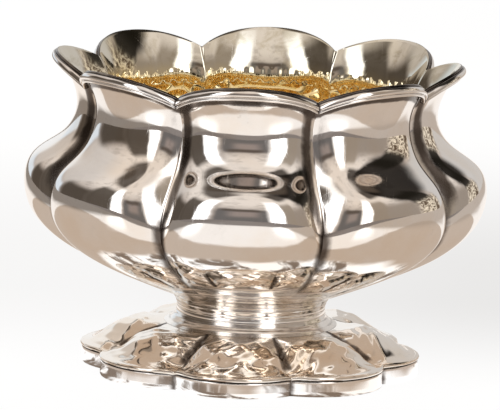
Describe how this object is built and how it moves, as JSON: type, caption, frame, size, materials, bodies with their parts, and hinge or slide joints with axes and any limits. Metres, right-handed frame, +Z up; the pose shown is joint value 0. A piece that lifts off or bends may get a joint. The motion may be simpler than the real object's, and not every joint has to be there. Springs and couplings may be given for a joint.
{
  "type": "sugar bowl",
  "caption": "Open lobed sugar bowl in polished silver, gilt inside, with a scalloped moulded rim, a round neck and a spreading lobed foot.",
  "frame": {"origin": "centre of the resting face under the foot band", "axes": "+Z up out of the bowl's mouth; a bowl lobe is centred on each of +X, -X, +Y and -Y, and the front is -Y"},
  "size_m": [0.1298, 0.1298, 0.0881],
  "materials": {
    "bowl_silver": "mirror-polished raised silver with fine wear scratches, inside gilt from the throat down",
    "rim_silver": "polished drawn silver moulding, a little dark in the grooves",
    "neck_silver": "polished spun silver with fine turning lines",
    "foot_silver": "polished raised silver, slightly warm, with soft dents",
    "band_silver": "polished silver strip, worn and bright at its lip"
  },
  "bodies": {
    "root": {"bowl": "bowl_silver", "rim_wire_1": "rim_silver", "rim_wire_2": "rim_silver", "rim_wire_3": "rim_silver", "rim_wire_4": "rim_silver", "rim_wire_5": "rim_silver", "rim_wire_6": "rim_silver", "rim_wire_7": "rim_silver", "rim_wire_8": "rim_silver", "neck_collar": "neck_silver", "foot": "foot_silver", "foot_band": "band_silver"}
  },
  "joints": []
}
